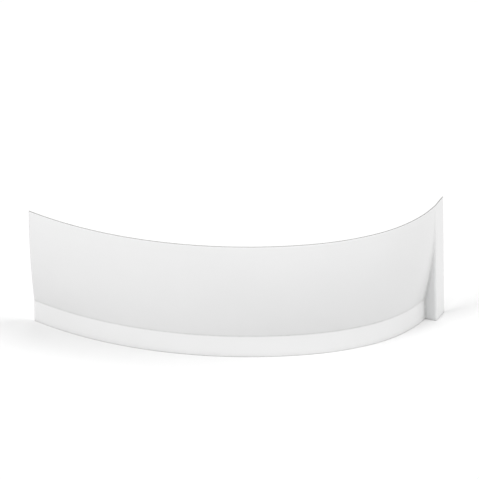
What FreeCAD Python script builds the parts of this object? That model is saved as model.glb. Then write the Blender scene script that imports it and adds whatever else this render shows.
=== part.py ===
import FreeCAD, Part
import math
import os

# Overall sizes in millimetres
panel_height = 560.0
plinth_height = 100.0
recess_depth = 56.0
sheet_thickness = 4.0

# Plan of the top edge, followed from the wall on the left: headings and turns in degrees
left_heading = -24.0
left_spare = 3.0
front_radius = 1445.0
front_turn = 53.0
shoulder_radius = 920.0
shoulder_turn = 18.0
end_radius = 620.0
end_turn = 38.0

# Step out to the strip: it is flush at the top edge and a full step at the plinth
step_run = 21.0
step_blend = 3.0

# Upright flat strip at the right-hand end, turned a little from the face beside it
strip_turn = 5.0
strip_flat = 89.0

# Number of level sections that carry the curved face
face_sections = 9


def normal(heading):
    """Unit vector out of the front of the panel where the plan has this heading."""
    return FreeCAD.Vector(math.sin(math.radians(heading)), -math.cos(math.radians(heading)), 0)


def along(heading):
    """Unit vector along the plan in this heading."""
    return FreeCAD.Vector(math.cos(math.radians(heading)), math.sin(math.radians(heading)), 0)


def line(start, end, height):
    """Straight level edge between two plan points."""
    lift = FreeCAD.Vector(0, 0, height)
    return Part.makeLine(start + lift, end + lift)


def arc(start, end, centre, height):
    """Level arc between two plan points, the short way round a centre."""
    lift = FreeCAD.Vector(0, 0, height)
    half_way = (start + end - centre * 2).normalize() * (start - centre).Length
    return Part.Arc(start + lift, centre + half_way + lift, end + lift).toShape()


# Headings where one bend of the plan runs into the next
shoulder_heading = left_heading + front_turn
end_heading = shoulder_heading + shoulder_turn
step_heading = end_heading + end_turn
strip_heading = step_heading + strip_turn

# Bend centres from the left end of the top edge, then the sides of the panel's box
front_offset = normal(left_heading) * -front_radius
shoulder_offset = front_offset + normal(shoulder_heading) * (front_radius - shoulder_radius)
end_offset = shoulder_offset + normal(end_heading) * (shoulder_radius - end_radius)
strip_offset = end_offset + normal(step_heading) * end_radius + along(step_heading) * step_run
right_side = strip_offset + along(strip_heading) * strip_flat
front_side = front_offset.y - front_radius

# The origin is on the floor under the middle of the box
middle = FreeCAD.Vector(right_side.x / 2, (right_side.y + front_side) / 2, 0)
front_centre = front_offset - middle
shoulder_centre = shoulder_offset - middle
end_centre = end_offset - middle
strip_start = strip_offset - middle
wall_x = -middle.x

# The face hangs plumb from the top edge and sweeps in to the plinth on one large radius
face_height = panel_height - plinth_height
face_radius = (face_height ** 2 + recess_depth ** 2) / (2 * recess_depth)


def recess_at(height):
    """How far the face lies behind the top edge at a height above the floor."""
    return face_radius - math.sqrt(face_radius ** 2 - (panel_height - height) ** 2)


def step_edges(recess, inset, height):
    """Hollow, wall and round of the step, on the outer skin or inset by the sheet.

    The hollow turns out from the face and the round turns back to the strip. They share one radius
    and keep the same run at every height. The wall between them takes up the depth left over by the
    run, and the blend lets it start gently. The turn opens from almost nothing at the top edge to
    about a right angle at the plinth. It is the one for which
    across * cos(turn) + outward * sin(turn) = reach.
    """
    bend = math.radians(strip_turn)
    over = recess - step_run
    wall = (over + math.sqrt(over ** 2 + 4 * step_blend ** 2)) / 2
    across = 2 * step_run + wall * (1 + math.cos(bend))
    outward = 2 * recess - wall * math.sin(bend)
    reach = step_run * (1 + math.cos(bend)) - recess * math.sin(bend) + 2 * wall
    turn = math.atan2(outward, across) + math.acos(reach / math.hypot(across, outward))
    radius = (step_run - wall * math.cos(turn)) / (2 * math.sin(turn) + math.sin(bend))
    face_out = normal(step_heading)
    wall_out = normal(step_heading - math.degrees(turn))
    strip_out = normal(strip_heading)
    hollow_centre = end_centre + face_out * (end_radius - recess + radius)
    round_centre = strip_start - strip_out * radius
    face_side = hollow_centre - face_out * (radius + inset)
    wall_low = hollow_centre - wall_out * (radius + inset)
    wall_high = round_centre + wall_out * (radius - inset)
    strip_side = round_centre + strip_out * (radius - inset)
    return [
        arc(face_side, wall_low, hollow_centre, height),
        line(wall_low, wall_high, height),
        arc(wall_high, strip_side, round_centre, height),
    ]


def skin(recess, inset, height):
    """Edges of one skin, from a little past the wall on the left to the strip."""
    behind = recess + inset
    left = front_centre + normal(left_heading - left_spare) * (front_radius - behind)
    shoulder = front_centre + normal(shoulder_heading) * (front_radius - behind)
    end = shoulder_centre + normal(end_heading) * (shoulder_radius - behind)
    step = end_centre + normal(step_heading) * (end_radius - behind)
    return [
        arc(left, shoulder, front_centre, height),
        arc(shoulder, end, shoulder_centre, height),
        arc(end, step, end_centre, height),
    ] + step_edges(recess, inset, height)


def section(recess, height):
    """Closed outline of the sheet at one height, as far as the strip."""
    outer = skin(recess, 0.0, height)
    inner = skin(recess, sheet_thickness, height)
    right = Part.makeLine(outer[-1].lastVertex().Point, inner[-1].lastVertex().Point)
    left = Part.makeLine(inner[0].firstVertex().Point, outer[0].firstVertex().Point)
    return Part.Wire(outer + [right] + inner[::-1] + [left])


# Plinth: the deepest section, straight up from the floor
plinth = Part.Face(section(recess_depth, 0.0)).extrude(FreeCAD.Vector(0, 0, plinth_height))

# Curved face: a loft through level sections that come forward towards the top edge
heights = [plinth_height + face_height * i / (face_sections - 1) for i in range(face_sections)]
face = Part.makeLoft([section(recess_at(height), height) for height in heights], True, False)

# Strip: a flat upright board of the sheet from the floor to the top edge
strip_back = strip_start - normal(strip_heading) * sheet_thickness
flat = along(strip_heading) * strip_flat
strip_outline = [strip_start, strip_start + flat, strip_back + flat, strip_back, strip_start]
strip = Part.Face(Part.makePolygon(strip_outline)).extrude(FreeCAD.Vector(0, 0, panel_height))

# All three are formed in one sheet, which is then trimmed upright along the wall
sheet = plinth.fuse([face, strip]).removeSplitter()
spare = sheet.BoundBox
spare_corner = FreeCAD.Vector(spare.XMin, spare.YMin, 0)
offcut = Part.makeBox(wall_x - spare.XMin, spare.YLength, spare.ZLength, spare_corner)
panel = sheet.cut(offcut).Solids[0]

os.makedirs("parts", exist_ok=True)
panel.exportStep("parts/bath_panel.step")
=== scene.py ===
# %% [markdown]
# # A bath panel formed from one sheet
#
# The real object is one sheet of white sanitary acrylic, warmed, drawn over a mould and sawn to
# size. It closes the front of an asymmetric corner bath and stands on the floor by itself. This
# lesson rebuilds the sheet as a surface with a thickness, gives its front, its edge and its back
# their own finishes, and lights it plainly.
#
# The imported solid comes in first. It fixes where the panel stands and how large it is, so its box
# is kept at once, before anything else is made.

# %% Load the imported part
import math

import bpy
import numpy as np
from mathutils import Matrix, Vector


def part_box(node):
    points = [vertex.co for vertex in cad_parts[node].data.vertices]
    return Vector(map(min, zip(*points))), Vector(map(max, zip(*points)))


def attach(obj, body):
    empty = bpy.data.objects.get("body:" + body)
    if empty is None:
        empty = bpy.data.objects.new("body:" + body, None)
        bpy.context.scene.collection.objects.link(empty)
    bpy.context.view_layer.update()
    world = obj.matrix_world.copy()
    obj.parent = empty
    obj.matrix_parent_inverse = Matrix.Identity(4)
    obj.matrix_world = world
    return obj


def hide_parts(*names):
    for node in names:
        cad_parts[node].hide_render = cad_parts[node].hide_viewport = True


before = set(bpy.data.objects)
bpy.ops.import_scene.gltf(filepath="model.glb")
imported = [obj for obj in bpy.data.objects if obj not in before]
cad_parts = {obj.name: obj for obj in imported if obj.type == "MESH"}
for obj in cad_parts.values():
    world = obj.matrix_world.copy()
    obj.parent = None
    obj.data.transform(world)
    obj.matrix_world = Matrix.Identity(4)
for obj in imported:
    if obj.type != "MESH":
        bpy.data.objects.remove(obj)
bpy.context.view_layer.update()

PANEL_NODE = "bath_panel"
box_low, box_high = (np.array(corner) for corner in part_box(PANEL_NODE))
print("nodes", list(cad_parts), "panel box in metres", box_high - box_low)

# %% [markdown]
# ## The plan of the panel
#
# Seen from above, the top edge is three bends that run into each other, then the narrow step and a
# flat strip that is turned a little from the face. Such a line is easy to follow by its heading, as
# a car follows a road: each bend has a radius and a turn, and its centre lies on the line from the
# last centre through the point where the two bends meet. A Bezier curve could be traced instead,
# but bends keep the surface smooth and their sizes can be read off the real thing.

# %% Bends of the top edge
# Lengths are in metres and angles in radians
FRONT_RADIUS, SHOULDER_RADIUS, END_RADIUS = 1.445, 0.920, 0.620
FRONT_TURN, SHOULDER_TURN, END_TURN = np.radians([53.0, 18.0, 38.0])
LEFT_HEADING, STRIP_TURN = np.radians([-24.0, 5.0])
STEP_RUN, STRIP_FLAT = 0.021, 0.089
SHOULDER_HEADING = LEFT_HEADING + FRONT_TURN
END_HEADING = SHOULDER_HEADING + SHOULDER_TURN
STEP_HEADING = END_HEADING + END_TURN
STRIP_HEADING = STEP_HEADING + STRIP_TURN


def out_of(heading):
    """Unit vector out of the front: the heading turned a quarter to the right, (sin, -cos)."""
    return np.stack([np.sin(heading), -np.cos(heading)], axis=-1)


def along(heading):
    """Unit vector along the plan: (cos, sin) of the heading."""
    return np.stack([np.cos(heading), np.sin(heading)], axis=-1)


# The plan is followed back from the end of the strip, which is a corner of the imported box
STRIP_START = box_high[:2] - STRIP_FLAT * along(STRIP_HEADING)
END_CENTRE = STRIP_START - STEP_RUN * along(STEP_HEADING) - END_RADIUS * out_of(STEP_HEADING)
SHOULDER_CENTRE = END_CENTRE - (SHOULDER_RADIUS - END_RADIUS) * out_of(END_HEADING)
FRONT_CENTRE = SHOULDER_CENTRE - (FRONT_RADIUS - SHOULDER_RADIUS) * out_of(SHOULDER_HEADING)
print("bend centres", FRONT_CENTRE, SHOULDER_CENTRE, END_CENTRE, "strip from", STRIP_START)

# %% [markdown]
# ## The upright profile
#
# The face hangs plumb from the top edge and sweeps in on one large radius, to a plinth that stands
# plumb again. Where the two meet there is a crease, and on a formed sheet a crease is never quite
# sharp. Taking the lesser of two depths gives the sharp crease; the formula below is the usual
# smooth version of it, which rounds the corner by a chosen small depth.

# %% Depth of the face behind the top edge
PANEL_HEIGHT = box_high[2] - box_low[2]
PLINTH_HEIGHT, RECESS_DEPTH = 0.100, 0.056
CREASE_EASE = 0.00012
FACE_HEIGHT = PANEL_HEIGHT - PLINTH_HEIGHT
FACE_RADIUS = (FACE_HEIGHT ** 2 + RECESS_DEPTH ** 2) / (2 * RECESS_DEPTH)


def recess_at(height):
    """Depth behind the top edge: the lesser of the face's arc and the plinth's depth, eased.

    The arc is radius - sqrt(radius^2 - drop^2). The eased lesser of a and b is half of
    a + b - sqrt((a - b)^2 + 4 ease^2).
    """
    drop = PANEL_HEIGHT - height
    arc = FACE_RADIUS - np.sqrt(FACE_RADIUS ** 2 - drop ** 2)
    return (arc + RECESS_DEPTH - np.sqrt((arc - RECESS_DEPTH) ** 2 + 4 * CREASE_EASE ** 2)) / 2


levels = np.array([0.0, PLINTH_HEIGHT, PANEL_HEIGHT / 2, PANEL_HEIGHT])
print("recess in mm at", levels, "is", 1000 * recess_at(levels))

# %% [markdown]
# ## The step
#
# Beside the upright strip the face drops back in a step: a hollow, a wall and a round. This is the
# skilful part of the mould. The step keeps the same run at every height, while its turn opens from
# almost nothing at the top edge to about a right angle at the plinth, so it looks like a narrow
# fan. A loft between two curves would pinch at the top. Two arcs of one radius with a straight
# between them have a closed formula instead, which is smooth at every depth.

# %% Turn and radius of the step
# Depth over which the wall starts between the two arcs
STEP_BLEND = 0.003


def step_shape(recess):
    """Turn and radius of the step's two arcs, for each depth.

    The wall between them is the eased greater of nothing and the depth left over by the run. The
    hollow turns out from the face and the round turns back to the strip, and they meet the wall
    when across * cos(turn) + outward * sin(turn) = reach. That turn is the angle of the vector
    (across, outward) plus the angle whose cosine is the reach over the vector's length.
    """
    over = recess - STEP_RUN
    wall = (over + np.sqrt(over ** 2 + 4 * STEP_BLEND ** 2)) / 2
    across = 2 * STEP_RUN + wall * (1 + math.cos(STRIP_TURN))
    outward = 2 * recess - wall * math.sin(STRIP_TURN)
    reach = STEP_RUN * (1 + math.cos(STRIP_TURN)) - recess * math.sin(STRIP_TURN) + 2 * wall
    turn = np.arctan2(outward, across) + np.arccos(reach / np.hypot(across, outward))
    radius = (STEP_RUN - wall * np.cos(turn)) / (2 * np.sin(turn) + math.sin(STRIP_TURN))
    return turn, radius


step_turns, step_radii = step_shape(recess_at(levels))
print("step turn in degrees", np.degrees(step_turns), "radius in mm", 1000 * step_radii)

# %% [markdown]
# ## The sheet as a function
#
# One function now gives every point of the sheet. It takes a station along the plan, a height and
# an inset from the front skin. Whole stations mark where one stretch ends and the next begins:
# three bends, then the hollow, the wall and the round of the step, then the flat strip. With such
# a function the front, the back and the edge are the same formula, so they meet exactly, which
# Solidify can't promise round a tight step.

# %% Every point of the sheet
# Stations where the last four stretches start, and the number of stretches
HOLLOW, WALL, ROUND, STRIP, STRETCHES = 3, 4, 5, 6, 7


def bend_points(centre, radius, start, end, share):
    """Points on an arc: the centre plus the radius times out_of a heading shared out evenly."""
    return centre + radius[..., None] * out_of(start + share * (end - start))


def sheet_points(station, height, inset):
    """Points of the sheet for arrays of station, height and inset from the front skin.

    A bend lies at its radius less the recess and the inset. The front bend starts where it is sawn
    off along the wall of the room, at the heading whose sine is the distance to that wall over the
    radius. The hollow's arc has its centre in front of the sheet and the round's behind, so the
    inset adds to the first radius and takes from the second. The step's wall is the straight line
    between them.
    """
    stretch = np.minimum(station.astype(int), STRETCHES - 1)
    share = station - stretch
    recess = recess_at(height)
    behind = recess + inset
    turn, radius = step_shape(recess)
    hollow_centre = END_CENTRE + (END_RADIUS - recess + radius)[..., None] * out_of(STEP_HEADING)
    round_centre = STRIP_START - radius[..., None] * out_of(STRIP_HEADING)
    sawn_heading = np.arcsin((box_low[0] - FRONT_CENTRE[0]) / (FRONT_RADIUS - behind))
    wall_low = hollow_centre - (radius + inset)[..., None] * out_of(STEP_HEADING - turn)
    wall_high = round_centre + (radius - inset)[..., None] * out_of(STEP_HEADING - turn)
    plans = [
        bend_points(FRONT_CENTRE, FRONT_RADIUS - behind, sawn_heading, SHOULDER_HEADING, share),
        bend_points(SHOULDER_CENTRE, SHOULDER_RADIUS - behind, SHOULDER_HEADING, END_HEADING, share),
        bend_points(END_CENTRE, END_RADIUS - behind, END_HEADING, STEP_HEADING, share),
        bend_points(hollow_centre, -(radius + inset), STEP_HEADING, STEP_HEADING - turn, share),
        wall_low + share[..., None] * (wall_high - wall_low),
        bend_points(round_centre, radius - inset, STEP_HEADING - turn, STRIP_HEADING, share),
        STRIP_START + (share * STRIP_FLAT)[..., None] * along(STRIP_HEADING)
        - inset[..., None] * out_of(STRIP_HEADING),
    ]
    plan = np.select([(stretch == i)[..., None] for i in range(STRETCHES)], plans)
    return np.concatenate([plan, (height + box_low[2])[..., None]], axis=-1)


wall_corner = sheet_points(np.array([0.0]), np.array([PANEL_HEIGHT]), np.array([0.0]))[0]
print("top corner at the wall of the room", wall_corner)

# %% [markdown]
# ## A grid with a rim
#
# The function is sampled on one grid for the front skin and on the same grid for the back. The
# rows and columns lie closer at the step and the crease, where the sheet turns quickly, and at the
# foot, where the grey of dust and painted shade fades out within millimetres. Between the skins
# runs the sawn edge. It is a rim: loops round the border of the sheet that follow a small profile,
# a broken corner, the flat of the cut and another broken corner. A Bevel modifier could break the
# corners too, but here the rim is already known and stays clean.

# %% Stations and heights
SHEET_THICKNESS, EDGE_ROUND = 0.004, 0.0012
# Grid steps in each stretch, from the wall of the room to the end of the strip
STRETCH_STEPS = [120, 28, 44, 12, 8, 14, 8]
FOOT_HEIGHTS = [0.0, 0.0025, 0.005, 0.009, 0.015, 0.025]
PLINTH_ROWS, CREASE_ROWS, FACE_ROWS = 6, 13, 44
# The plinth's rows start above the foot's. They end a gap below the crease, and the face's rows
# start a gap above it. The crease's own rows reach a little way to both sides of it.
PLINTH_START, PLINTH_GAP, FACE_GAP, CREASE_REACH = 0.040, 0.008, 0.010, 0.006
front_length = FRONT_RADIUS * FRONT_TURN
stations = np.concatenate([i + np.arange(n) / n for i, n in enumerate(STRETCH_STEPS)] + [[STRETCHES]])
heights = np.concatenate([
    FOOT_HEIGHTS,
    np.linspace(PLINTH_START, PLINTH_HEIGHT - PLINTH_GAP, PLINTH_ROWS),
    PLINTH_HEIGHT + np.linspace(-CREASE_REACH, CREASE_REACH, CREASE_ROWS),
    np.linspace(PLINTH_HEIGHT + FACE_GAP, PANEL_HEIGHT, FACE_ROWS),
])


def border_grid(ease):
    """Stations and heights of the grid with its border drawn in by a distance on all four sides.

    Along the plan, a distance becomes a share of a station: the distance over the stretch's length.
    """
    along_grid = stations.copy()
    up_grid = heights.copy()
    along_grid[0] += ease / front_length
    along_grid[-1] -= ease / STRIP_FLAT
    up_grid[0] += ease
    up_grid[-1] -= ease
    return along_grid, up_grid


print("grid of", len(stations), "stations by", len(heights), "heights")

# %% Places on the skins and round the rim
CORNER_STEPS = 4
quarter = np.linspace(0.0, math.pi / 2, CORNER_STEPS + 1)
# The rim's profile is two quarter rounds, one from the front skin to the flat of the cut and one
# from there to the back. The ease is how far in from the border it lies, the inset how far back.
rim_ease = EDGE_ROUND * np.concatenate([1 - np.sin(quarter[1:]), 1 - np.cos(quarter[:-1])])
rim_inset = np.concatenate([
    EDGE_ROUND * (1 - np.cos(quarter[1:])),
    SHEET_THICKNESS - EDGE_ROUND * (1 - np.sin(quarter[:-1])),
])


def skin_places(inset):
    """Station, height and inset of one whole skin, drawn in by the round of the edge."""
    along_grid, up_grid = border_grid(EDGE_ROUND)
    grid = np.meshgrid(along_grid, up_grid, indexing="ij")
    return np.stack([grid[0].ravel(), grid[1].ravel(), np.full(grid[0].size, inset)])


def loop_places(ease, inset):
    """Places once round the border: along the floor, up the strip, back along the top, down the left."""
    along_grid, up_grid = border_grid(ease)
    sides, ends = len(up_grid) - 1, len(along_grid) - 1
    loop_stations = np.concatenate([
        along_grid[:-1], np.full(sides, along_grid[-1]), along_grid[:0:-1], np.full(sides, along_grid[0]),
    ])
    loop_heights = np.concatenate([
        np.full(ends, up_grid[0]), up_grid[:-1], np.full(ends, up_grid[-1]), up_grid[:0:-1],
    ])
    return np.stack([loop_stations, loop_heights, np.full(len(loop_stations), inset)])


skins = [skin_places(0.0), skin_places(SHEET_THICKNESS)]
loops = [loop_places(ease, inset) for ease, inset in zip(rim_ease, rim_inset)]
places = np.concatenate(skins + loops, axis=1)
points = sheet_points(*places)
print("points", points.shape, "from", points.min(axis=0), "to", points.max(axis=0))

# %% Faces of the skins and the rim
columns, rows = len(stations), len(heights)
front_index = np.arange(columns * rows).reshape(columns, rows)
back_index = front_index + columns * rows


def border_index(index):
    """Point numbers of a grid's border, in the order of loop_places."""
    return np.concatenate([index[:-1, 0], index[-1, :-1], index[:0:-1, -1], index[0, :0:-1]])


def grid_quads(index):
    """Quads of a grid, wound so that a skin seen from the front faces the viewer."""
    corners = [index[:-1, :-1], index[1:, :-1], index[1:, 1:], index[:-1, 1:]]
    return np.stack(corners, axis=-1).reshape(-1, 4)


def rim_quads(outer, inner):
    """Quads between two loops of the border, wound to face away from the sheet."""
    return np.stack([outer, inner, np.roll(inner, -1), np.roll(outer, -1)], axis=-1)


loop_size = loops[0].shape[1]
loop_index = [
    border_index(front_index),
    *(2 * columns * rows + loop_size * i + np.arange(loop_size) for i in range(len(loops))),
    border_index(back_index),
]
front_quads, back_quads = grid_quads(front_index), grid_quads(back_index)[:, ::-1]
rim = np.concatenate([rim_quads(a, b) for a, b in zip(loop_index, loop_index[1:])])
quads = np.concatenate([front_quads, rim, back_quads])
print("quads of the front", len(front_quads), "rim", len(rim), "back", len(back_quads))

# %% [markdown]
# ## Where the sheet was drawn, and where dust and painted shade lie
#
# Two things about a formed sheet depend on its shape, so they are worked out here and carried on
# the mesh as attributes. The wall of the step was drawn furthest over the mould and is thinnest
# there. A grey that is partly dust and partly painted shade lies in the crease, in the hollow, and
# along the foot, where a cloth can't reach and shade falls. Painting these by hand would be slow,
# and a formula follows the shape exactly.

# %% Drawn places, and places of dust and painted shade
# How far the dust and painted shade reach from the crease, and how far up from the floor
CREASE_DUST_AND_SHADE, FOOT_DUST_AND_SHADE = 0.003, 0.005
station, height, _ = places
depth_share = recess_at(height) / RECESS_DEPTH
drawn = np.interp(station, [HOLLOW, WALL, ROUND, STRIP], [0.0, 1.0, 1.0, 0.0]) * depth_share
# The grey of dust and painted shade is a bell curve across the crease that fades out in the
# hollow, an arch over the hollow, and an exponential fall upwards from the floor
crease_dust_and_shade = np.exp(-((height - PLINTH_HEIGHT) / CREASE_DUST_AND_SHADE) ** 2) * np.clip(WALL - station, 0, 1)
hollow_dust_and_shade = np.sin(np.pi * np.clip(station - HOLLOW, 0, 1)) * np.sqrt(depth_share)
foot_dust_and_shade = np.exp(-height / FOOT_DUST_AND_SHADE)
dust_and_shade = np.maximum.reduce([crease_dust_and_shade, hollow_dust_and_shade, foot_dust_and_shade])
print("share of points drawn", (drawn > 0.5).mean(), "darkened", (dust_and_shade > 0.5).mean())

# %% The panel's mesh
FRONT_FINISH, EDGE_FINISH, BACK_FINISH = 0, 1, 2
finishes = np.repeat(
    [FRONT_FINISH, EDGE_FINISH, BACK_FINISH], [len(front_quads), len(rim), len(back_quads)]
)
panel_mesh = bpy.data.meshes.new("formed_panel")
panel_mesh.from_pydata(points.tolist(), [], quads.tolist())
panel_mesh.polygons.foreach_set("material_index", finishes.astype(np.int32))
panel_mesh.polygons.foreach_set("use_smooth", np.ones(len(quads), dtype=bool))
# The second attribute is the grey of dust and painted shade in the crease, the hollow and the foot
for name, values in (("drawn", drawn), ("dust_and_shade", dust_and_shade)):
    panel_mesh.attributes.new(name, "FLOAT", "POINT").data.foreach_set("value", values.astype(np.float32))
panel_mesh.update()
panel = bpy.data.objects.new("formed_panel", panel_mesh)
bpy.context.scene.collection.objects.link(panel)
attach(panel, "root")
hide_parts(PANEL_NODE)
print("panel faces", len(panel_mesh.polygons), "needed mending", panel_mesh.validate())

# %% [markdown]
# ## A flat map of the panel
#
# Other programs can't run Blender's nodes, so a finish reaches them as pictures that a flat map
# lays on the mesh. Blender's own unwrapping would cut the thin rim into slivers narrower than a
# pixel, and the grey edge would break into dashes. The grid gives a better map at no cost. Every
# cell of a skin gets the same room, so the small cells at the step, the crease and the foot get
# the most detail. The rim is cut in two halves, and each half is a band of its own.

# %% Flat places of the skins and the rim
# A map of this name is kept when the finishes are drawn on pictures
MAP_NAME = "OFBake"
# Bottom and top of each room on the map, as shares of its height
FRONT_ROOM, BACK_ROOM = (0.01, 0.46), (0.48, 0.84)
RIM_ROOMS = np.array([(0.86, 0.92), (0.94, 0.99)])
bands = len(loop_index) - 1
half_loop = loop_size // 2


def in_room(share, room):
    """Height on the map: the room's bottom plus a share of the way to its top."""
    bottom, top = room
    return bottom + share * (top - bottom)


def skin_map(across, room):
    """Corners of a skin's quads on the map: the columns lie across it and the rows up its room."""
    grid = np.meshgrid(across, in_room(np.linspace(0.0, 1.0, rows), room), indexing="ij")
    return np.stack([grid_quads(grid[0]), grid_quads(grid[1])], axis=-1)


def rim_map(band):
    """Corners of one band of the rim's quads: its steps lie across the map, half in each rim room."""
    step = np.arange(loop_size)
    start = step % half_loop / half_loop
    end = start + 1 / half_loop
    room = RIM_ROOMS[step // half_loop].T
    outer, inner = in_room(1 - band / bands, room), in_room(1 - (band + 1) / bands, room)
    return np.stack([
        np.stack([start, start, end, end], axis=-1), np.stack([outer, inner, inner, outer], axis=-1)
    ], axis=-1)


across_map = np.linspace(0.0, 1.0, columns)
flat_places = np.concatenate([
    skin_map(across_map, FRONT_ROOM),
    *(rim_map(band) for band in range(bands)),
    skin_map(across_map[::-1], BACK_ROOM)[:, ::-1],
])
flat_map = panel_mesh.uv_layers.new(name=MAP_NAME)
flat_map.uv.foreach_set("vector", flat_places.astype(np.float32).ravel())
print("flat map of", len(flat_places), "quads, lowest", flat_places.min(), "highest", flat_places.max())

# %% [markdown]
# ## Finishes
#
# A finish starts from what the real surface is and how it was made. Colours are written as the
# hex values seen on a screen, and one function turns them to the linear values that Blender
# mixes. Another small function adds a node with its settings and links, so that each finish
# below reads as a list of what it is made of.

# %% Colour and node helpers
# A Mix node has sockets of one name for each kind of data, so those for colours go by number: the
# share, the two colours that come in and the one that goes out
MIX_SHARE, MIX_A, MIX_B, MIX_COLOUR = 0, 6, 7, 2


def linear(hex_colour):
    """Linear RGBA of an sRGB hex colour: c / 12.92 when dark, else ((c + 0.055) / 1.055) ^ 2.4."""
    channels = np.array([int(hex_colour[i:i + 2], 16) for i in (1, 3, 5)]) / 255
    values = np.where(channels <= 0.04045, channels / 12.92, ((channels + 0.055) / 1.055) ** 2.4)
    return (*values.tolist(), 1.0)


def per_metre(millimetres):
    """Texture scale that makes one period of a pattern this long."""
    return 1000.0 / millimetres


def add_node(tree, kind, settings=None, links=None):
    """Adds one node, fills its sockets, by name or number, or its properties, and links its inputs."""
    node = tree.nodes.new(kind)
    for name, value in (settings or {}).items():
        if isinstance(name, int) or name in node.inputs:
            node.inputs[name].default_value = value
        else:
            setattr(node, name, value)
    for name, source in (links or {}).items():
        tree.links.new(source, node.inputs[name])
    return node


def new_finish(name):
    """Adds a material with an empty node tree, and gives both."""
    material = bpy.data.materials.new(name)
    material.use_nodes = True
    material.node_tree.nodes.clear()
    return material, material.node_tree


print("light grey in linear values", linear("#ECECEC"))

# %% [markdown]
# ### The formed acrylic of the front
#
# Sanitary acrylic is a hard, glossy plastic, white right through. Drawing it over a mould leaves
# very long, very shallow ripples that only show as a slow wander of the reflections, and a fine
# orange peel. The eye sees a clean, neutral white with a soft gloss. It is a little greyer where
# the sheet was drawn thin, and a fine grey line of dust and painted shade lies in the crease, in
# the hollow and along the foot. Noise at real sizes gives the ripple, and the mesh's own attributes
# place the rest.

# %% Front finish: colour
# The last colour is the grey of dust and painted shade in the crease, the hollow and along the foot
WHITE_PALE, WHITE_DEEP, DRAWN_TINT, DUST_AND_SHADE_TINT = "#EEEEEE", "#EAEAEA", "#E0E1E1", "#9A9A97"
TINT_MM, SPECK_MM = 320.0, 24.0
# Least and most share of that grey of dust and painted shade
DUST_AND_SHADE_LEAST, DUST_AND_SHADE_MOST = 0.22, 0.42
# Noise seldom leaves this range, so it is spread out from here
NOISE_RANGE = {"From Min": 0.3, "From Max": 0.7}
acrylic, tree = new_finish("formed_white_acrylic")
spot = add_node(tree, "ShaderNodeTexCoord").outputs["Object"]
tint = add_node(
    tree, "ShaderNodeTexNoise", {"Scale": per_metre(TINT_MM), "Detail": 2.0}, {"Vector": spot}
)
speck = add_node(
    tree, "ShaderNodeTexNoise", {"Scale": per_metre(SPECK_MM), "Detail": 3.0}, {"Vector": spot}
)
drawn_thin = add_node(tree, "ShaderNodeAttribute", {"attribute_name": "drawn"})
# Where the dust and painted shade lie, read from the mesh
dust_and_shade_mask = add_node(tree, "ShaderNodeAttribute", {"attribute_name": "dust_and_shade"})
whites = add_node(
    tree, "ShaderNodeMix", {"data_type": "RGBA", MIX_A: linear(WHITE_PALE), MIX_B: linear(WHITE_DEEP)},
    {MIX_SHARE: tint.outputs["Fac"]},
)
thinned = add_node(
    tree, "ShaderNodeMix", {"data_type": "RGBA", MIX_B: linear(DRAWN_TINT)},
    {MIX_SHARE: drawn_thin.outputs["Fac"], MIX_A: whites.outputs[MIX_COLOUR]},
)
patchy = add_node(
    tree, "ShaderNodeMapRange", {**NOISE_RANGE, "To Min": DUST_AND_SHADE_LEAST, "To Max": DUST_AND_SHADE_MOST},
    {"Value": speck.outputs["Fac"]},
)
# How much of the grey of dust and painted shade goes on, which also dulls the gloss
dust_and_shade_share = add_node(
    tree, "ShaderNodeMath", {"operation": "MULTIPLY"},
    {0: dust_and_shade_mask.outputs["Fac"], 1: patchy.outputs["Result"]},
)
dust_and_shade_mixed = add_node(
    tree, "ShaderNodeMix", {"data_type": "RGBA", MIX_B: linear(DUST_AND_SHADE_TINT)},
    {MIX_SHARE: dust_and_shade_share.outputs["Value"], MIX_A: thinned.outputs[MIX_COLOUR]},
)
print("front colour nodes", len(tree.nodes))

# %% Front finish: gloss and ripple
ACRYLIC_IOR = 1.49
ROUGH_CLEAN, ROUGH_WIPED = 0.10, 0.14
WIPE_MM, RIPPLE_MM, PEEL_MM = 70.0, 160.0, 9.0
# Depths are in metres
RIPPLE_STRENGTH, RIPPLE_DEPTH = 0.08, 0.0005
PEEL_STRENGTH, PEEL_DEPTH = 0.015, 0.0003
wipe = add_node(
    tree, "ShaderNodeTexNoise", {"Scale": per_metre(WIPE_MM), "Detail": 3.0}, {"Vector": spot}
)
ripple = add_node(
    tree, "ShaderNodeTexNoise", {"Scale": per_metre(RIPPLE_MM), "Detail": 1.0}, {"Vector": spot}
)
# True orange peel is about 2 mm, too fine for the render, so it is drawn coarser and weaker
peel = add_node(
    tree, "ShaderNodeTexNoise", {"Scale": per_metre(PEEL_MM), "Detail": 1.0}, {"Vector": spot}
)
wiped = add_node(
    tree, "ShaderNodeMapRange", {**NOISE_RANGE, "To Min": ROUGH_CLEAN, "To Max": ROUGH_WIPED},
    {"Value": wipe.outputs["Fac"]},
)
dulled = add_node(
    tree, "ShaderNodeMath", {"operation": "ADD"},
    {0: wiped.outputs["Result"], 1: dust_and_shade_share.outputs["Value"]},
)
long_bump = add_node(
    tree, "ShaderNodeBump", {"Strength": RIPPLE_STRENGTH, "Distance": RIPPLE_DEPTH},
    {"Height": ripple.outputs["Fac"]},
)
fine_bump = add_node(
    tree, "ShaderNodeBump", {"Strength": PEEL_STRENGTH, "Distance": PEEL_DEPTH},
    {"Height": peel.outputs["Fac"], "Normal": long_bump.outputs["Normal"]},
)
shader = add_node(
    tree, "ShaderNodeBsdfPrincipled", {"IOR": ACRYLIC_IOR},
    {"Base Color": dust_and_shade_mixed.outputs[MIX_COLOUR], "Roughness": dulled.outputs["Value"],
     "Normal": fine_bump.outputs["Normal"]},
)
add_node(tree, "ShaderNodeOutputMaterial", {}, {"Surface": shader.outputs["BSDF"]})
print("front finish nodes", len(tree.nodes))

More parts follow.
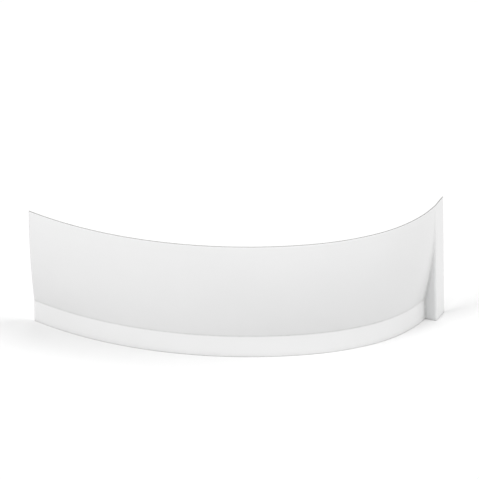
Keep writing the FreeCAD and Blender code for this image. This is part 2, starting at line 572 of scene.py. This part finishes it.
# %% [markdown]
# ### The sawn edge
#
# The trimmed border is the same plastic, cut by a saw and broken at its corners with a scraper.
# The cut is dull and finely torn and scatters light. Its grey is partly saw dust and partly painted
# shade of the saw marks, so the eye sees a thin grey line round the sheet.

# %% Edge finish
# The sawn greys are partly saw dust and partly painted shade of the saw marks
SAWN_DARK, SAWN_PALE, SAWN_ROUGHNESS = "#737370", "#8A8A87", 0.6
TOOTH_MM, SMEAR_MM = 5.0, 40.0
TOOTH_STRENGTH, TOOTH_DEPTH = 0.5, 0.0003
sawn, tree = new_finish("sawn_acrylic_edge")
spot = add_node(tree, "ShaderNodeTexCoord").outputs["Object"]
# Saw marks are about 1 mm apart on the real edge, drawn coarser so that they show
tooth = add_node(
    tree, "ShaderNodeTexNoise", {"Scale": per_metre(TOOTH_MM), "Detail": 2.0}, {"Vector": spot}
)
smear = add_node(
    tree, "ShaderNodeTexNoise", {"Scale": per_metre(SMEAR_MM), "Detail": 3.0}, {"Vector": spot}
)
torn = add_node(
    tree, "ShaderNodeMix", {"data_type": "RGBA", MIX_A: linear(SAWN_DARK), MIX_B: linear(SAWN_PALE)},
    {MIX_SHARE: smear.outputs["Fac"]},
)
tooth_bump = add_node(
    tree, "ShaderNodeBump", {"Strength": TOOTH_STRENGTH, "Distance": TOOTH_DEPTH},
    {"Height": tooth.outputs["Fac"]},
)
shader = add_node(
    tree, "ShaderNodeBsdfPrincipled", {"IOR": ACRYLIC_IOR, "Roughness": SAWN_ROUGHNESS},
    {"Base Color": torn.outputs[MIX_COLOUR], "Normal": tooth_bump.outputs["Normal"]},
)
add_node(tree, "ShaderNodeOutputMaterial", {}, {"Surface": shader.outputs["BSDF"]})
print("edge finish nodes", len(tree.nodes))

# %% [markdown]
# ### The rolled back
#
# The back of the sheet never touched a polished mould. It keeps the satin, faintly pebbled face
# that the sheet was rolled with, a shade greyer than the front, with long faint lines from the
# roller along its length. Nothing is fixed to it.

# %% Back finish
ROLLED_PALE, ROLLED_DARK = "#E4E4E2", "#D9D9D7"
SATIN_SMOOTH, SATIN_ROUGH = 0.36, 0.48
PEBBLE_MM, LINE_LENGTH_MM, LINE_WIDTH_MM = 8.0, 700.0, 22.0
PEBBLE_STRENGTH, PEBBLE_DEPTH = 0.3, 0.0005
satin, tree = new_finish("rolled_acrylic_back")
spot = add_node(tree, "ShaderNodeTexCoord").outputs["Object"]
# The pebble is 1 to 2 mm on the real sheet, drawn coarser so that it shows
pebble = add_node(
    tree, "ShaderNodeTexNoise", {"Scale": per_metre(PEBBLE_MM), "Detail": 2.0}, {"Vector": spot}
)
stretched = add_node(
    tree, "ShaderNodeMapping",
    {"Scale": (per_metre(LINE_LENGTH_MM), per_metre(LINE_LENGTH_MM), per_metre(LINE_WIDTH_MM))},
    {"Vector": spot},
)
roller = add_node(
    tree, "ShaderNodeTexNoise", {"Scale": 1.0, "Detail": 3.0}, {"Vector": stretched.outputs["Vector"]}
)
rolled = add_node(
    tree, "ShaderNodeMix", {"data_type": "RGBA", MIX_A: linear(ROLLED_PALE), MIX_B: linear(ROLLED_DARK)},
    {MIX_SHARE: roller.outputs["Fac"]},
)
uneven = add_node(
    tree, "ShaderNodeMapRange", {**NOISE_RANGE, "To Min": SATIN_SMOOTH, "To Max": SATIN_ROUGH},
    {"Value": roller.outputs["Fac"]},
)
pebble_bump = add_node(
    tree, "ShaderNodeBump", {"Strength": PEBBLE_STRENGTH, "Distance": PEBBLE_DEPTH},
    {"Height": pebble.outputs["Fac"]},
)
shader = add_node(
    tree, "ShaderNodeBsdfPrincipled", {"IOR": ACRYLIC_IOR},
    {"Base Color": rolled.outputs[MIX_COLOUR], "Roughness": uneven.outputs["Result"],
     "Normal": pebble_bump.outputs["Normal"]},
)
add_node(tree, "ShaderNodeOutputMaterial", {}, {"Surface": shader.outputs["BSDF"]})
for finish in (acrylic, sawn, satin):
    panel_mesh.materials.append(finish)
print("finishes on the panel", [finish.name for finish in panel_mesh.materials])

# %% [markdown]
# ## Camera
#
# The picture is a parallel view: the plinth looks equally tall all along it, near and far. An
# orthographic camera fits that, with its scale given as pixels for each metre. Its direction comes
# from an azimuth and an elevation, it leans by a very small roll, and it is moved sideways until
# one corner of the panel falls on its pixel.

# %% Directions of the picture
AZIMUTH, ELEVATION, ROLL = np.radians([19.74, 25.07, 0.62])


def direction(azimuth, elevation):
    """Unit vector to an azimuth right of the panel's front and an elevation.

    Its level part is out_of the azimuth times cos(elevation), and its height is sin(elevation).
    """
    return np.array([*(math.cos(elevation) * out_of(azimuth)), math.sin(elevation)])


towards_camera = direction(AZIMUTH, ELEVATION)
level = np.array([*along(AZIMUTH), 0.0])
plumb = np.cross(towards_camera, level)
right = level * math.cos(ROLL) - plumb * math.sin(ROLL)
up = level * math.sin(ROLL) + plumb * math.cos(ROLL)
print("right of the picture", right, "up", up)

# %% Camera at the picture's angle
PICTURE_SIDE, PIXELS_PER_METRE = 479.0, 227.35
# The panel's top corner at the wall of the room, from the left and from the top of the picture
CORNER_PIXEL = np.array([28.74, 210.92])
CAMERA_DISTANCE = 6.0
across, down = (CORNER_PIXEL - PICTURE_SIDE / 2) / PIXELS_PER_METRE
camera_place = wall_corner - right * across + up * down + towards_camera * CAMERA_DISTANCE
camera_data = bpy.data.cameras.new("picture_camera")
camera_data.type = "ORTHO"
camera_data.ortho_scale = PICTURE_SIDE / PIXELS_PER_METRE
camera = bpy.data.objects.new("picture_camera", camera_data)
camera.matrix_world = Matrix([
    *np.column_stack([right, up, towards_camera, camera_place]).tolist(), [0, 0, 0, 1]
])
bpy.context.scene.collection.objects.link(camera)
bpy.context.scene.camera = camera
print("camera at", camera_place, "sees", camera_data.ortho_scale, "metres")

# %% [markdown]
# ## Floor
#
# The panel stands on a plain pale floor. The floor's own colour is a light grey, so that it does
# not fill every shade under the overhang with bounced light. A little plain white is added where
# the camera or a reflection looks at it. It then reads as a white ground and still keeps the
# panel's shadow, which a glowing floor would lose.

# %% Floor
FLOOR_HALF = 20.0
floor_corners = FLOOR_HALF * np.array([(-1, -1, 0), (1, -1, 0), (1, 1, 0), (-1, 1, 0)])
floor_corners[:, 2] = box_low[2]
floor_mesh = bpy.data.meshes.new("floor")
floor_mesh.from_pydata(floor_corners.tolist(), [], [(0, 1, 2, 3)])
floor = bpy.data.objects.new("floor", floor_mesh)
bpy.context.scene.collection.objects.link(floor)
print("floor side in metres", 2 * FLOOR_HALF)

# %% Floor paint
FLOOR_TINT, FLOOR_LIFT = "#C0C0C0", 0.20


def seen_share(tree):
    """One where the camera sees a surface directly, mirrored or through glass, and else nothing."""
    ray = add_node(tree, "ShaderNodeLightPath")
    direct = add_node(
        tree, "ShaderNodeMath", {"operation": "MAXIMUM"},
        {0: ray.outputs["Is Camera Ray"], 1: ray.outputs["Is Glossy Ray"]},
    )
    seen = add_node(
        tree, "ShaderNodeMath", {"operation": "MAXIMUM"},
        {0: direct.outputs["Value"], 1: ray.outputs["Is Transmission Ray"]},
    )
    return seen.outputs["Value"]


paint, tree = new_finish("pale_floor_paint")
matt = add_node(tree, "ShaderNodeBsdfDiffuse", {"Color": linear(FLOOR_TINT)})
lift = add_node(
    tree, "ShaderNodeMath", {"operation": "MULTIPLY", 1: FLOOR_LIFT}, {0: seen_share(tree)}
)
glow = add_node(tree, "ShaderNodeEmission", {}, {"Strength": lift.outputs["Value"]})
both = add_node(tree, "ShaderNodeAddShader", {}, {0: matt.outputs["BSDF"], 1: glow.outputs["Emission"]})
add_node(tree, "ShaderNodeOutputMaterial", {}, {"Surface": both.outputs["Shader"]})
floor_mesh.materials.append(paint)
print("floor paint nodes", len(tree.nodes))

# %% [markdown]
# ## Light
#
# White on white needs light that models the form gently. A wide key lamp stands high in front, a
# little to the left. Because it is high, the face grows darker as it sweeps in, and the plinth
# below the crease is bright again. A wide lamp from the right lights the curved end and the strip
# past the wall of the step, which stays in shade and reads as a dark fan. A weak lamp from high
# behind keeps the back from going dull. Far lamps are used, so the floor is lit evenly all over.
# The room adds an even light from all sides and looks white.

# %% Room
# Strength of the room where it lights the panel, and where the camera sees it
ROOM_STRENGTH, SEEN_STRENGTH = 0.52, 1.0
ROOM_TINT = "#FFFFFF"
world = bpy.data.worlds.new("soft_room")
bpy.context.scene.world = world
world.use_nodes = True
tree = world.node_tree
tree.nodes.clear()
strength = add_node(
    tree, "ShaderNodeMapRange", {"To Min": ROOM_STRENGTH, "To Max": SEEN_STRENGTH},
    {"Value": seen_share(tree)},
)
room = add_node(
    tree, "ShaderNodeBackground", {"Color": linear(ROOM_TINT)}, {"Strength": strength.outputs["Result"]}
)
add_node(tree, "ShaderNodeOutputWorld", {}, {"Surface": room.outputs["Background"]})
print("room nodes", len(tree.nodes))


# %% Lamps
def far_lamp(name, azimuth, elevation, spread, strength):
    """A lamp as wide as a softbox, far off at an azimuth right of the front and an elevation.

    It shines down its own axis, so its Z points back to where the light comes from.
    """
    data = bpy.data.lights.new(name, "SUN")
    data.angle = math.radians(spread)
    data.energy = strength
    source = Vector(direction(math.radians(azimuth), math.radians(elevation)))
    lamp = bpy.data.objects.new(name, data)
    lamp.location = source * CAMERA_DISTANCE
    lamp.rotation_euler = source.to_track_quat("Z", "Y").to_euler()
    bpy.context.scene.collection.objects.link(lamp)
    return lamp


lamps = [
    far_lamp("key_lamp", azimuth=-18.0, elevation=58.0, spread=30.0, strength=2.15),
    far_lamp("end_lamp", azimuth=97.0, elevation=50.0, spread=30.0, strength=1.35),
    far_lamp("top_lamp", azimuth=170.0, elevation=72.0, spread=24.0, strength=0.5),
]
bpy.context.scene.view_settings.view_transform = "Standard"
print("lamps", [lamp.name for lamp in lamps])
